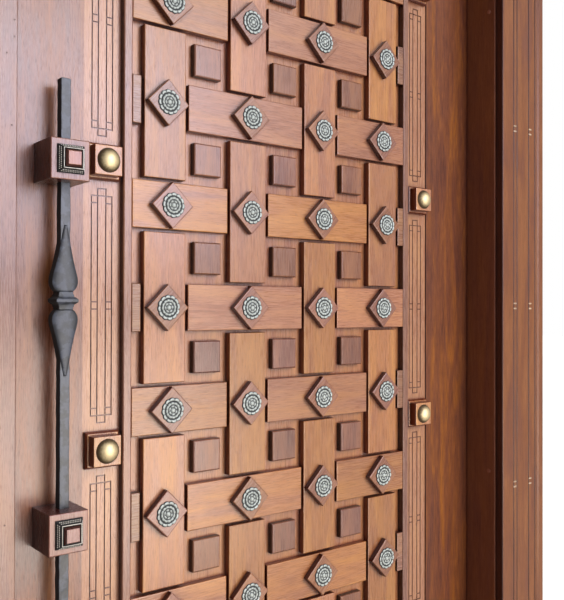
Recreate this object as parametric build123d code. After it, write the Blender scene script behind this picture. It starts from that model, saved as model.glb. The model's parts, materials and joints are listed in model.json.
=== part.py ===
"""Carved temple door: one heavy timber leaf with a woven-board front, hung in its own frame.

Sizes are in millimetres. X runs along the wall, +Y goes into the building and +Z is up.
The origin is on the underside of the sill, halfway between the jambs, in the plane of the
leaf's plain front boards. The leaf is shown shut. It swings inwards on four hinges.
"""

import os

from build123d import *

# Woven field: boards lie in turn upright and level, one at each crossing of a square grid
pitch = 200.0
column_count = 4
row_count = 11
board_width = 93.0
board_gap = 6.0  # from a board's end to the board that crosses in front of it
board_thickness = 16.0
board_arris = 1.5
field_margin = 72.0  # from the outermost board centres to the bead around the field
edge_shift = 10.0  # how far a cut board's diamond moves in from the bead

# Square studs in the gaps of the weave
stud_size = 65.0
stud_thickness = 14.5
stud_arris = 2.5

# Diamonds and the metal rosettes on them
diamond_side = 65.0
diamond_thickness = 14.0
diamond_arris = 1.5
rosette_petals = 12
rosette_radius = 25.0
rosette_rim = 2.0
rosette_height = 5.0
rosette_boss_radius = 10.0
rosette_dip = 1.5  # from the boss's tip down to its foot

# Boards of the leaf, and how far each front stands from the plain front (positive is back)
lock_stile_width = 126.5
hinge_stile_width = 161.0
pilaster_width = 77.0
bead_width = 18.0
rail_height = 110.0
front_board_thickness = 20.0
core_thickness = 28.0
pilaster_recess = 3.0
field_recess = 6.0
bead_stand = 11.0
bead_arris = 2.0

# Incised lines on the pilasters
line_width = 2.4
line_depth = 2.0
inner_line_offset = 8.3
outer_line_offset = 20.7
line_end_gap = 15.5  # from a block or the pilaster's end to the middle channel
knot_size = 13.5  # the small closed box at a channel's end

# Stepped blocks with brass domes on the pilasters
block_count = 4
block_spacing = 535.6
block_rise = 3.8  # from the middle row of the weave up to the blocks' middle
block_base_size = 68.0
block_base_stand = 10.0
block_base_bevel = 4.0
block_top_size = 55.0
block_top_thickness = 20.0
block_top_arris = 1.0
dome_radius = 23.0
dome_height = 14.0

# Pull handle: a square iron bar through two wooden cubes
bar_size = 18.8
bar_length = 940.0
bar_stand = 34.0  # from the plain front to the bar's middle
bar_arris = 1.5
bar_clearance = 0.2  # at the mortises' sides; front and back grip the bar
cube_size = 71.0
cube_depth = 76.5
cube_arris = 1.5
cube_shift = 5.5  # from the bar's middle towards the lock edge
cube_from_bar_end = 149.0
handle_from_edge = 75.0  # from the visible lock edge to the bar's middle
handle_drop = 66.0  # from the middle row of the weave down to the handle's middle
knuckle_rise = 78.0  # from the handle's middle up to the forged knuckle
blade_foot_half = 15.0  # half widths of a forged blade
blade_belly_half = 23.8
blade_shoulder_half = 19.8
blade_waist_half = 11.5
blade_belly = 18.0  # lengths along the bar, from the end of the neck
blade_shoulder = 38.0
blade_waist = 73.0
blade_length = 105.0
rib_inset = 2.2  # from a blade's edge in to its raised rib
rib_stand = 2.5
rib_tip_half = 2.3
rib_length = 117.0
neck_size = 27.0
neck_length = 31.0
collar_size = 41.0
collar_thickness = 12.4
collar_bevel = 3.6
ornament_size = 49.0
ornament_ridge = 36.5
ornament_opening = 29.6
ornament_height = 14.0
centre_size = 29.2
centre_top_size = 22.5
centre_height = 19.0

# Bolts that hold the cubes, one for each, put in from the back
bolt_radius = 5.0
bolt_head_radius = 9.5
bolt_head_thickness = 6.5
bolt_end_gap = 5.0  # wood left between the bolt's tip and the bar
bolt_clearance = 0.2

# Frame
jamb_thickness = 45.0
reveal_depth = 90.0  # from the plain front out to the jambs' front edges
frame_back = 50.0  # from the plain front in to the jambs' back edges
stop_overlap = 12.0
stop_gap = 1.0
edge_clearance = 3.0
post_width = 100.5
post_stand = 12.0
sill_height = 30.0
floor_clearance = 5.0
casing_width = 175.0
casing_thickness = 22.0
casing_setback = 7.0
casing_groove_width = 4.0
casing_groove_depth = 2.5
casing_grooves = (46.0, 60.0, 111.0, 139.0)  # from the casing's inner edge
band_width = 28.0
band_stand = 4.0
band_bevel = 6.0

# Lift-off hinges: the leaf's half turns on a pin that stands in the jamb's half
hinge_count = 4
hinge_height = 125.0
hinge_end_distance = 220.0
hinge_plate_depth = 26.0
hinge_plate_thickness = 2.5
knuckle_radius = 8.0
knuckle_gap = 0.3
hinge_pin_radius = 4.0
hinge_pin_length = 50.0
pin_clearance = 0.05
axis_behind_jamb = 8.5

# Holes for the fixings that hold each jamb to the wall
fixing_radius = 5.0
fixing_height = 811.0
fixing_spacing = 1200.0
fixing_from_front = 17.0

# How far a cut runs past the wood that it takes away
cut_margin = 1.0

# Worked out from the sizes above
board_length = 2 * (pitch - board_width / 2 - board_gap)
field_half_width = (column_count - 1) * pitch / 2 + field_margin
field_half_height = (row_count - 1) * pitch / 2 + field_margin
side_width = pilaster_width + bead_width
leaf_sight_width = lock_stile_width + hinge_stile_width + 2 * (side_width + field_half_width)
leaf_sight_height = 2 * (field_half_height + bead_width + rail_height)
opening_width = post_width + leaf_sight_width

x_jamb = opening_width / 2
x_lock_edge = -x_jamb + post_width
x_hinge_edge = x_jamb
x_lock_boards = x_lock_edge + lock_stile_width
x_hinge_boards = x_hinge_edge - hinge_stile_width
x_field = x_lock_boards + side_width + field_half_width
x_leaf_low = x_lock_edge - stop_overlap
x_leaf_high = x_hinge_edge + stop_overlap

z_leaf_low = sill_height + floor_clearance
z_head = z_leaf_low + leaf_sight_height
z_leaf_high = z_head + stop_overlap
z_field = z_leaf_low + leaf_sight_height / 2
z_frame_top = z_head + jamb_thickness

y_core = front_board_thickness
y_back = front_board_thickness + core_thickness
y_board_front = field_recess - board_thickness
y_diamond_front = y_board_front - diamond_thickness
y_block_base = pilaster_recess - block_base_stand
y_block_top = y_block_base - block_top_thickness

x_bar = x_lock_edge + handle_from_edge
x_cube = x_bar - cube_shift
z_handle = z_field - handle_drop
z_knuckle = z_handle + knuckle_rise
cube_spacing = bar_length - 2 * cube_from_bar_end
cube_heights = (z_handle - cube_spacing / 2, z_handle + cube_spacing / 2)

x_axis = x_hinge_edge + stop_overlap + edge_clearance / 2
y_axis = frame_back + axis_behind_jamb
hinge_heights = [
    z_leaf_low + hinge_end_distance
    + index * (z_leaf_high - z_leaf_low - 2 * hinge_end_distance) / (hinge_count - 1)
    for index in range(hinge_count)
]


def box(x_low, x_high, y_low, y_high, z_low, z_high):
    """A block between two corners."""
    size = (x_high - x_low, y_high - y_low, z_high - z_low)
    corner = (Align.MIN, Align.MIN, Align.MIN)
    return Pos(x_low, y_low, z_low) * Box(*size, align=corner)


def front_block(width, height, thickness, arris):
    """A block on the XZ plane that stands out towards -Y, with its front edges taken off."""
    solid = Box(width, thickness, height, align=(Align.CENTER, Align.MAX, Align.CENTER))
    front = solid.faces().sort_by(Axis.Y)[0]
    return chamfer(front.edges(), arris)


def rod(radius, length, start, direction):
    """A round rod from a start point along a direction."""
    return extrude(Plane(start, z_dir=direction) * Circle(radius), length)


def group(solids):
    """Several separate solids kept as one named piece."""
    return Compound(children=list(solids))


def grid_places(upright):
    """Column, row and board centre of every crossing with an upright or a level board."""
    places = []
    for column in range(column_count):
        for row in range(row_count):
            row_from_middle = row - (row_count - 1) // 2
            if ((column + row_from_middle) % 2 == 0) != upright:
                continue
            x = x_field + (column - (column_count - 1) / 2) * pitch
            z = z_field + row_from_middle * pitch
            places.append((column, row, x, z))
    return places


def cut_board(x, z, upright):
    """One woven board, cut off where it meets the bead around the field."""
    half_x = (board_width if upright else board_length) / 2
    half_z = (board_length if upright else board_width) / 2
    x_low = max(x - half_x, x_field - field_half_width)
    x_high = min(x + half_x, x_field + field_half_width)
    z_low = max(z - half_z, z_field - field_half_height)
    z_high = min(z + half_z, z_field + field_half_height)
    block = front_block(x_high - x_low, z_high - z_low, board_thickness, board_arris)
    return Pos((x_low + x_high) / 2, field_recess, (z_low + z_high) / 2) * block


def diamond_place(column, row, x, z, upright):
    """Where the diamond sits on its board: in the middle, or moved in on a cut board."""
    if not upright and column == 0:
        x = x + edge_shift
    if not upright and column == column_count - 1:
        x = x - edge_shift
    if upright and row == 0:
        z = z + edge_shift
    if upright and row == row_count - 1:
        z = z - edge_shift
    return x, z


def woven_boards(column, upright):
    """The upright or the level boards of one column."""
    places = [place for place in grid_places(upright) if place[0] == column]
    return group(cut_board(x, z, upright) for _, _, x, z in places)


def board_ends():
    """The short ends of the boards whose centres would lie outside the field."""
    ends = []
    for column in (-1, column_count):
        for row in range(row_count):
            row_from_middle = row - (row_count - 1) // 2
            if (column + row_from_middle) % 2 == 0:
                continue
            x = x_field + (column - (column_count - 1) / 2) * pitch
            ends.append(cut_board(x, z_field + row_from_middle * pitch, False))
    for side in (-1, 1):
        row_from_middle = side * ((row_count + 1) // 2)
        for column in range(column_count):
            if (column + row_from_middle) % 2 == 1:
                continue
            x = x_field + (column - (column_count - 1) / 2) * pitch
            ends.append(cut_board(x, z_field + row_from_middle * pitch, True))
    return group(ends)


def square_studs(gap_column):
    """The raised squares in the gaps between two columns of boards."""
    x = x_field + (gap_column + 1 - column_count / 2) * pitch
    stud = front_block(stud_size, stud_size, stud_thickness, stud_arris)
    heights = [z_field + (row + 1 - row_count / 2) * pitch for row in range(row_count - 1)]
    return group(Pos(x, field_recess, z) * stud for z in heights)


def diamond_places(column):
    """The middles of all diamonds in one column."""
    places = []
    for upright in (True, False):
        for place in grid_places(upright):
            if place[0] == column:
                places.append(diamond_place(*place, upright))
    return places


def diamonds(column):
    """The turned square blocks of one column."""
    square = front_block(diamond_side, diamond_side, diamond_thickness, diamond_arris)
    turned = Rot(0, 45, 0) * square
    return group(Pos(x, y_board_front, z) * turned for x, z in diamond_places(column))


def rosette():
    """A metal rosette: one flat slope for each petal, and a pointed boss in the middle."""
    face = Plane((0, 0, 0), x_dir=(1, 0, 0), z_dir=(0, -1, 0))
    outline = RegularPolygon(rosette_radius, rosette_petals)
    foot = RegularPolygon(rosette_boss_radius, rosette_petals)
    slope_height = rosette_height - rosette_dip
    plate = extrude(face * outline, rosette_rim)
    petals = loft([face.offset(rosette_rim) * outline, face.offset(slope_height) * foot])
    boss = loft([
        face.offset(slope_height) * foot,
        face.offset(rosette_height) * Vertex(0, 0, 0),
    ])
    return plate + petals + boss


def rosettes(column):
    """The rosettes on the diamonds of one column."""
    piece = rosette()
    return group(Pos(x, y_diamond_front, z) * piece for x, z in diamond_places(column))


def block_heights():
    """Heights of the stepped blocks, evenly spaced about the middle row."""
    middle = (block_count - 1) / 2
    z_middle = z_field + block_rise
    return [z_middle + (index - middle) * block_spacing for index in range(block_count)]


def pilaster(x_low):
    """A pilaster board with its incised channels between the blocks."""
    z_low = z_field - field_half_height - bead_width
    z_high = z_field + field_half_height + bead_width
    board = box(x_low, x_low + pilaster_width, pilaster_recess, y_core, z_low, z_high)
    edges = [z_low]
    for height in block_heights():
        edges += [height - block_base_size / 2, height + block_base_size / 2]
    edges.append(z_high)
    lines = []
    for low, high in zip(edges[0::2], edges[1::2]):
        lines += channel_lines(x_low + pilaster_width / 2, low, high)
    return board - lines


def channel_lines(x, z_low, z_high):
    """Grooves of three channels side by side, each closed by a small box at its ends."""

    def upright(offset, low, high):
        half = line_width / 2
        y = pilaster_recess
        return box(x + offset - half, x + offset + half, y, y + line_depth, low, high)

    def level(offset_low, offset_high, z):
        half = line_width / 2
        y = pilaster_recess
        x_span = (x + offset_low - half, x + offset_high + half)
        return box(*x_span, y, y + line_depth, z - half, z + half)

    inner_ends = (z_low + line_end_gap, z_high - line_end_gap)
    outer_ends = (inner_ends[0] + knot_size, inner_ends[1] - knot_size)
    box_ends = (outer_ends[0] + knot_size, outer_ends[1] - knot_size)
    middle = (z_low + z_high) / 2
    middle_ends = (middle - knot_size / 2, middle + knot_size / 2)
    lines = []
    for side in (-1, 1):
        lines.append(upright(side * inner_line_offset, *inner_ends))
        lines.append(upright(side * outer_line_offset, *outer_ends))
        span = sorted((side * inner_line_offset, side * outer_line_offset))
        for z in box_ends + middle_ends:
            lines.append(level(*span, z))
    for z in inner_ends:
        lines.append(level(-inner_line_offset, inner_line_offset, z))
    for z in outer_ends:
        lines.append(level(-outer_line_offset, outer_line_offset, z))
    return lines


def on_pilaster(x_low, piece, y):
    """A copy of a piece at every block height on one pilaster."""
    x = x_low + pilaster_width / 2
    return group(Pos(x, y, z) * piece for z in block_heights())


def block_base():
    """The lower, bevelled step of a block."""
    return front_block(block_base_size, block_base_size, block_base_stand, block_base_bevel)


def block_top():
    """The upper step of a block."""
    return front_block(block_top_size, block_top_size, block_top_thickness, block_top_arris)


def dome():
    """A shallow brass dome, flat at the back."""
    profile = Line((0, 0), (dome_radius, 0))
    profile += ThreePointArc(*dome_arc())
    profile += Line((0, dome_height), (0, 0))
    return Rot(180, 0, 0) * revolve(make_face(profile), Axis.Y)


def dome_arc():
    """Rim, halfway point and top of the dome's round outline."""
    ball = (dome_radius**2 + dome_height**2) / (2 * dome_height)
    half_way = dome_radius / 2
    drop = ball - (ball**2 - half_way**2) ** 0.5
    return (dome_radius, 0), (half_way, dome_height - drop), (0, dome_height)


def upright_bead(x_low):
    """The strip that stands beside the field, mitred to the level strips."""
    z_low = z_field - field_half_height - bead_width
    z_high = z_field + field_half_height + bead_width
    height = z_high - z_low
    strip = front_block(bead_width, height, y_core + bead_stand, bead_arris)
    return Pos(x_low + bead_width / 2, y_core, (z_low + z_high) / 2) * strip


def level_bead(z_low):
    """The strip above or below the field, between the upright strips."""
    strip = front_block(2 * field_half_width, bead_width, y_core + bead_stand, bead_arris)
    return Pos(x_field, y_core, z_low + bead_width / 2) * strip


def leaf_core():
    """The solid slab behind the front boards, let in for the hinges and bored for the bolts."""
    slab = box(x_leaf_low, x_leaf_high, y_core, y_back, z_leaf_low, z_leaf_high)
    slab -= [hinge_seat(z, -1) for z in hinge_heights]
    return slab - bolt_holes()


def lock_stile():
    """The plain front board on the lock side, which carries the handle."""
    board = box(x_leaf_low, x_lock_boards, 0, y_core, z_leaf_low, z_leaf_high)
    return board - bolt_holes()


def rail(z_low, z_high):
    """A plain front board across the top or the bottom, between the stiles."""
    return box(x_lock_boards, x_hinge_boards, 0, y_core, z_low, z_high)


def bolt_tip():
    """How far in front of the plain boards a cube's bolt ends."""
    return bar_stand - bar_size / 2 - bolt_end_gap


def bolt_holes():
    """Round holes through the leaf and into the cubes."""
    length = y_back + bolt_tip() + bolt_clearance
    radius = bolt_radius + bolt_clearance
    return [rod(radius, length, (x_bar, y_back, z), (0, -1, 0)) for z in cube_heights]


def handle_bolts():
    """The cubes' bolts, with hexagon heads on the leaf's back."""
    bolts = []
    for z in cube_heights:
        seat = (x_bar, y_back, z)
        shank = rod(bolt_radius, y_back + bolt_tip(), seat, (0, -1, 0))
        head = Plane(seat, z_dir=(0, 1, 0)) * RegularPolygon(bolt_head_radius, 6)
        bolts.append(shank + extrude(head, bolt_head_thickness))
    return group(bolts)


def handle_cube(z):
    """A wooden cube on the stile, with a square mortise for the bar."""
    cube = Pos(x_cube, 0, z) * front_block(cube_size, cube_size, cube_depth, cube_arris)
    mortise = box(
        x_bar - bar_size / 2 - bar_clearance,
        x_bar + bar_size / 2 + bar_clearance,
        -bar_stand - bar_size / 2,
        -bar_stand + bar_size / 2,
        z - cube_size / 2,
        z + cube_size / 2,
    )
    return cube - mortise - bolt_holes()


def blade(direction, inset, depth, tip_half, length):
    """A flat forged blade from the neck out along the bar, wide at its belly."""
    start = z_knuckle + direction * neck_length / 2

    def at(half_width, distance):
        return (half_width, start + direction * distance)

    foot = at(blade_foot_half - inset, 0)
    belly = at(blade_belly_half - inset, blade_belly)
    shoulder = at(blade_shoulder_half - inset, blade_shoulder)
    waist = at(blade_waist_half - inset, blade_waist)
    outline = Line(at(0, 0), foot) + ThreePointArc(foot, belly, shoulder)
    outline += Polyline(shoulder, waist, at(tip_half, length), at(0, length), at(0, 0))
    half = extrude(Plane.XZ * make_face(outline), depth / 2, both=True)
    return Pos(x_bar, -bar_stand, 0) * (half + mirror(half, about=Plane.YZ))


def collar():
    """The square collar in the knuckle's middle, with its edges sloped off."""
    plate = Pos(x_bar, -bar_stand, z_knuckle) * Box(collar_size, collar_size, collar_thickness)
    faces = plate.faces().sort_by(Axis.Z)
    return chamfer(faces[0].edges() + faces[-1].edges(), collar_bevel)


def handle_bar():
    """The forged bar: square, with a collared knuckle between two long blades."""
    z_low = z_handle - bar_length / 2
    bar = box(
        x_bar - bar_size / 2,
        x_bar + bar_size / 2,
        -bar_stand - bar_size / 2,
        -bar_stand + bar_size / 2,
        z_low,
        z_low + bar_length,
    )
    ends = bar.faces().sort_by(Axis.Z)
    bar = chamfer(ends[0].edges() + ends[-1].edges(), bar_arris)
    bar += Pos(x_bar, -bar_stand, z_knuckle) * Box(neck_size, neck_size, neck_length)
    bar += collar()
    for direction in (-1, 1):
        bar += blade(direction, 0, bar_size, bar_size / 2, blade_length)
        bar += blade(direction, rib_inset, bar_size + 2 * rib_stand, rib_tip_half, rib_length)
    return bar


def ornament_frame(z):
    """A square metal frame on a cube's front, sloping up to a ridge around its opening."""
    outer = Plane((x_cube, -cube_depth, z), x_dir=(1, 0, 0), z_dir=(0, -1, 0))
    foot = outer * Rectangle(ornament_size, ornament_size)
    ridge = outer.offset(ornament_height) * Rectangle(ornament_ridge, ornament_ridge)
    hole = outer * Rectangle(ornament_opening, ornament_opening)
    return loft([foot, ridge]) - extrude(hole, ornament_height)


def ornament_centre(z):
    """A small wooden block in the ornament's opening, with a sloped front."""
    base = Plane((x_cube, -cube_depth, z), x_dir=(1, 0, 0), z_dir=(0, -1, 0))
    foot = base.offset(ornament_height) * Rectangle(centre_size, centre_size)
    top = base.offset(centre_height) * Rectangle(centre_top_size, centre_top_size)
    block = extrude(base * Rectangle(centre_size, centre_size), ornament_height)
    return block + loft([foot, top])


def jamb_hinge_side():
    """The hinge-side jamb. Its front part covers the leaf's edge and stops it."""
    x_back = x_jamb + stop_overlap + edge_clearance
    outline = Polyline(
        (x_jamb, -reveal_depth),
        (x_jamb + jamb_thickness, -reveal_depth),
        (x_jamb + jamb_thickness, frame_back),
        (x_back, frame_back),
        (x_back, -stop_gap),
        (x_jamb, -stop_gap),
        close=True,
    )
    jamb = extrude(make_face(outline), z_frame_top)
    jamb -= [hinge_seat(z, 1) for z in hinge_heights]
    return jamb - fixing_holes(x_jamb)


def jamb_lock_side():
    """The plain lock-side jamb, which carries the flush post."""
    x_low = -x_jamb - jamb_thickness
    jamb = box(x_low, -x_jamb, -reveal_depth, frame_back, 0, z_frame_top)
    return jamb - fixing_holes(x_low)


def fixing_holes(x_low):
    """Holes through a jamb for the fixings into the wall."""
    y = fixing_from_front - reveal_depth
    heights = (fixing_height, fixing_height + fixing_spacing)
    return [rod(fixing_radius, jamb_thickness, (x_low, y, z), (1, 0, 0)) for z in heights]


def lock_post():
    """The post that the leaf shuts against, with a lip that covers the leaf's edge."""
    x_back = x_lock_edge - stop_overlap - edge_clearance
    outline = Polyline(
        (-x_jamb, -post_stand),
        (x_lock_edge, -post_stand),
        (x_lock_edge, -stop_gap),
        (x_back, -stop_gap),
        (x_back, frame_back),
        (-x_jamb, frame_back),
        close=True,
    )
    section = Pos(0, 0, sill_height) * make_face(outline)
    return extrude(section, z_head - sill_height)


def cross_member(z_low, z_high, z_rebate):
    """A sill or head between the jambs, with a tongue that fills the hinge jamb's rebate."""
    x_back = x_jamb + stop_overlap + edge_clearance
    member = box(-x_jamb, x_jamb, -reveal_depth, frame_back, z_low, z_high)
    member += box(x_jamb, x_back, -stop_gap, frame_back, z_rebate, z_high)
    if z_rebate > z_low:
        x_low = x_lock_edge - stop_overlap - edge_clearance
        member -= box(x_low, x_back, -stop_gap, frame_back, z_low, z_rebate)
    return member


def casing_section():
    """Half-outline of the moulded casing: X from its inner edge, Y towards the viewer."""
    step = casing_width - band_width
    front = casing_thickness + band_stand
    outline = Polyline(
        (0, 0),
        (casing_width, 0),
        (casing_width, front - band_bevel),
        (casing_width - band_bevel, front),
        (step + band_bevel, front),
        (step, casing_thickness),
        (casing_groove_depth, casing_thickness),
        (0, casing_thickness - casing_groove_depth),
        close=True,
    )
    section = make_face(outline)
    for middle in casing_grooves:
        groove = Polyline(
            (middle - casing_groove_width / 2, casing_thickness),
            (middle + casing_groove_width / 2, casing_thickness),
            (middle, casing_thickness - casing_groove_depth),
            close=True,
        )
        section -= make_face(groove)
    return section


def upright_casing(side):
    """The casing beside a jamb, mitred at its top."""
    x_inner = x_jamb + casing_setback
    z_inner = z_head + casing_setback
    height = z_inner + casing_width
    plane = Plane((x_inner, -reveal_depth, 0), x_dir=(1, 0, 0), z_dir=(0, 0, 1))
    section = plane * mirror(casing_section(), about=Plane.XZ)
    casing = extrude(section, height)
    casing -= mitre_cut(x_inner, z_inner)
    if side < 0:
        casing = mirror(casing, about=Plane.YZ)
    return casing


def mitre_cut(x_inner, z_inner):
    """A wedge above the line that rises at 45 degrees from the casing's inner corner."""
    reach = casing_width + cut_margin
    outline = Polyline(
        (x_inner, z_inner),
        (x_inner + reach, z_inner + reach),
        (x_inner - cut_margin, z_inner + reach),
        (x_inner - cut_margin, z_inner),
        close=True,
    )
    wedge = Plane((0, 0, 0), x_dir=(1, 0, 0), z_dir=(0, -1, 0)) * make_face(outline)
    return extrude(wedge, reveal_depth + casing_thickness + band_stand + cut_margin)


def head_casing():
    """The casing over the door, mitred at both ends."""
    x_inner = x_jamb + casing_setback
    z_inner = z_head + casing_setback
    x_outer = x_inner + casing_width
    plane = Plane((x_outer, -reveal_depth, z_inner), x_dir=(0, 0, 1), z_dir=(-1, 0, 0))
    casing = extrude(plane * mirror(casing_section(), about=Plane.XZ), 2 * x_outer)
    reach = casing_width + cut_margin
    outline = Polyline(
        (x_inner, z_inner),
        (x_inner + reach, z_inner + reach),
        (x_inner + reach, z_inner - cut_margin),
        (x_inner, z_inner - cut_margin),
        close=True,
    )
    wedge = Plane((0, 0, 0), x_dir=(1, 0, 0), z_dir=(0, -1, 0)) * make_face(outline)
    cut = extrude(wedge, reveal_depth + casing_thickness + band_stand + cut_margin)
    return casing - cut - mirror(cut, about=Plane.YZ)


def plate_side(side):
    """The wooden face that a hinge plate is let into: the leaf's edge or the rebate."""
    return x_axis + side * edge_clearance / 2


def hinge_seat(z, side):
    """The shallow recess for one hinge plate; side is -1 on the leaf and 1 on the jamb."""
    x_face = plate_side(side)
    x_span = sorted((x_face, x_face + side * hinge_plate_thickness))
    y_edge = y_back if side < 0 else frame_back
    z_half = hinge_height / 2
    return box(*x_span, y_back - hinge_plate_depth, y_edge, z - z_half, z + z_half)


def hinge_plate(z, side):
    """The flat plate of one half of a hinge, let into the wood."""
    x_face = plate_side(side)
    x_span = sorted((x_face, x_face + side * hinge_plate_thickness))
    y_edge = y_back if side < 0 else frame_back
    half = hinge_height / 2
    return box(*x_span, y_back - hinge_plate_depth, y_edge, z - half, z + half)


def hinge_knuckle(side, z_low, z_high):
    """A round knuckle and the web that joins it to its plate."""
    x_face = plate_side(side)
    x_span = sorted((x_face, x_face + side * hinge_plate_thickness))
    y_edge = y_back if side < 0 else frame_back
    web = box(*x_span, y_edge, y_axis, z_low, z_high)
    return web + rod(knuckle_radius, z_high - z_low, (x_axis, y_axis, z_low), (0, 0, 1))


def hinge_jamb_half(z):
    """The lower half of a hinge, with the pin that the leaf turns on."""
    top = z - knuckle_gap / 2
    half = hinge_plate(z, 1) + hinge_knuckle(1, z - hinge_height / 2, top)
    return half + rod(hinge_pin_radius, hinge_pin_length, (x_axis, y_axis, top), (0, 0, 1))


def hinge_leaf_half(z):
    """The upper half of a hinge, bored from below for the pin."""
    bottom = z + knuckle_gap / 2
    half = hinge_plate(z, -1) + hinge_knuckle(-1, bottom, z + hinge_height / 2)
    bore_radius = hinge_pin_radius + pin_clearance
    return half - rod(bore_radius, hinge_pin_length, (x_axis, y_axis, bottom), (0, 0, 1))


def frame_pieces():
    """Every piece that stays still."""
    return {
        "sill": cross_member(0, sill_height, 0),
        "head_jamb": cross_member(
            z_head, z_frame_top, z_head + stop_overlap + edge_clearance
        ),
        "jamb_lock_side": jamb_lock_side(),
        "jamb_hinge_side": jamb_hinge_side(),
        "lock_post": lock_post(),
        "casing_lock_side": upright_casing(-1),
        "casing_hinge_side": upright_casing(1),
        "casing_head": head_casing(),
        "hinge_jamb_halves": group(hinge_jamb_half(z) for z in hinge_heights),
    }


def leaf_boards():
    """The slab with its hinge halves, the plain boards and the beads of the leaf."""
    z_field_low = z_field - field_half_height - bead_width
    z_field_high = z_field + field_half_height + bead_width
    field_low = x_field - field_half_width
    field_high = x_field + field_half_width
    return {
        "leaf_core": leaf_core(),
        "hinge_leaf_halves": group(hinge_leaf_half(z) for z in hinge_heights),
        "lock_stile": lock_stile(),
        "hinge_stile": box(x_hinge_boards, x_leaf_high, 0, y_core, z_leaf_low, z_leaf_high),
        "bottom_rail": rail(z_leaf_low, z_field_low),
        "top_rail": rail(z_field_high, z_leaf_high),
        "pilaster_lock_side": pilaster(x_lock_boards),
        "pilaster_hinge_side": pilaster(x_hinge_boards - pilaster_width),
        "bead_lock_side": upright_bead(field_low - bead_width),
        "bead_hinge_side": upright_bead(field_high),
        "bead_bottom": level_bead(z_field_low),
        "bead_top": level_bead(z_field_high - bead_width),
        "field_panel": box(
            field_low,
            field_high,
            field_recess,
            y_core,
            z_field - field_half_height,
            z_field + field_half_height,
        ),
    }


def weave_pieces():
    """The woven boards with their diamonds, rosettes and square studs."""
    pieces = {"weave_board_ends": board_ends()}
    for column in range(column_count):
        number = column + 1
        pieces[f"weave_upright_boards_{number}"] = woven_boards(column, True)
        pieces[f"weave_level_boards_{number}"] = woven_boards(column, False)
        pieces[f"diamonds_{number}"] = diamonds(column)
        pieces[f"rosettes_{number}"] = rosettes(column)
    for gap_column in range(column_count - 1):
        pieces[f"square_studs_{gap_column + 1}"] = square_studs(gap_column)
    return pieces


def block_pieces():
    """The stepped blocks and domes of both pilasters."""
    pieces = {}
    sides = {"lock_side": x_lock_boards, "hinge_side": x_hinge_boards - pilaster_width}
    for side, x_low in sides.items():
        pieces[f"block_bases_{side}"] = on_pilaster(x_low, block_base(), pilaster_recess)
        pieces[f"block_tops_{side}"] = on_pilaster(x_low, block_top(), y_block_base)
        pieces[f"brass_domes_{side}"] = on_pilaster(x_low, dome(), y_block_top)
    return pieces


def handle_pieces():
    """The pull handle and what holds it."""
    low, high = cube_heights
    return {
        "handle_bar": handle_bar(),
        "handle_cube_lower": handle_cube(low),
        "handle_cube_upper": handle_cube(high),
        "handle_ornament_frames": group(ornament_frame(z) for z in cube_heights),
        "handle_ornament_centres": group(ornament_centre(z) for z in cube_heights),
        "handle_bolts": handle_bolts(),
    }


def main():
    os.makedirs("parts", exist_ok=True)
    pieces = {
        **frame_pieces(),
        **leaf_boards(),
        **weave_pieces(),
        **block_pieces(),
        **handle_pieces(),
    }
    for name, solid in pieces.items():
        export_step(solid, f"parts/{name}.step")


main()
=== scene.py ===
"""Looks of the carved temple door: varnished wood, aged metals, hardware, camera and light."""

import json
import math
import random

import bmesh
import bpy
from mathutils import Matrix, Vector

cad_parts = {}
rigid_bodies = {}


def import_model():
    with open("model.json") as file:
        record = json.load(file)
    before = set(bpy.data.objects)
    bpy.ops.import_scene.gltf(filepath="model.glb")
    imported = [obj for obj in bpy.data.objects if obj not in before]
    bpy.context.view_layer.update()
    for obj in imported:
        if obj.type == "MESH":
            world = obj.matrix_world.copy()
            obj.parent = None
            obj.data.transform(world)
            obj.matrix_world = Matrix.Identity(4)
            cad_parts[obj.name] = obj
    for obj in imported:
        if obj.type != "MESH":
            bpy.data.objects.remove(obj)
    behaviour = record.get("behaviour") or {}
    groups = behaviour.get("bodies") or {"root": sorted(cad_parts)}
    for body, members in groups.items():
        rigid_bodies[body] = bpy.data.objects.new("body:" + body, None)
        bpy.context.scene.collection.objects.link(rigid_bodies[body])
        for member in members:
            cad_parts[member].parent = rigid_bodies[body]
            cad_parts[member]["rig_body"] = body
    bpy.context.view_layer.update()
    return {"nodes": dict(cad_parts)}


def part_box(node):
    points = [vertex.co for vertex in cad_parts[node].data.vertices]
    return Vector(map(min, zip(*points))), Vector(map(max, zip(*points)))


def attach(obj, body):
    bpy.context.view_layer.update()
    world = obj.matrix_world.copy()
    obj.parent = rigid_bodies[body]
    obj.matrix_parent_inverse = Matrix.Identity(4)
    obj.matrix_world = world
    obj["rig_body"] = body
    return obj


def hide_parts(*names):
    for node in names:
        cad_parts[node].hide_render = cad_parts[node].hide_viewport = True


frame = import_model()

# Camera, from the photograph's straight edges
photo_height = 600
focal_pixels = 798.6
sensor_size = 36.0
camera_place = Vector((-1.0512, -1.3801, 1.237))
camera_yaw = math.radians(38.12)
camera_pitch = math.radians(0.494)
camera_roll = math.radians(0.147)

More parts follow.
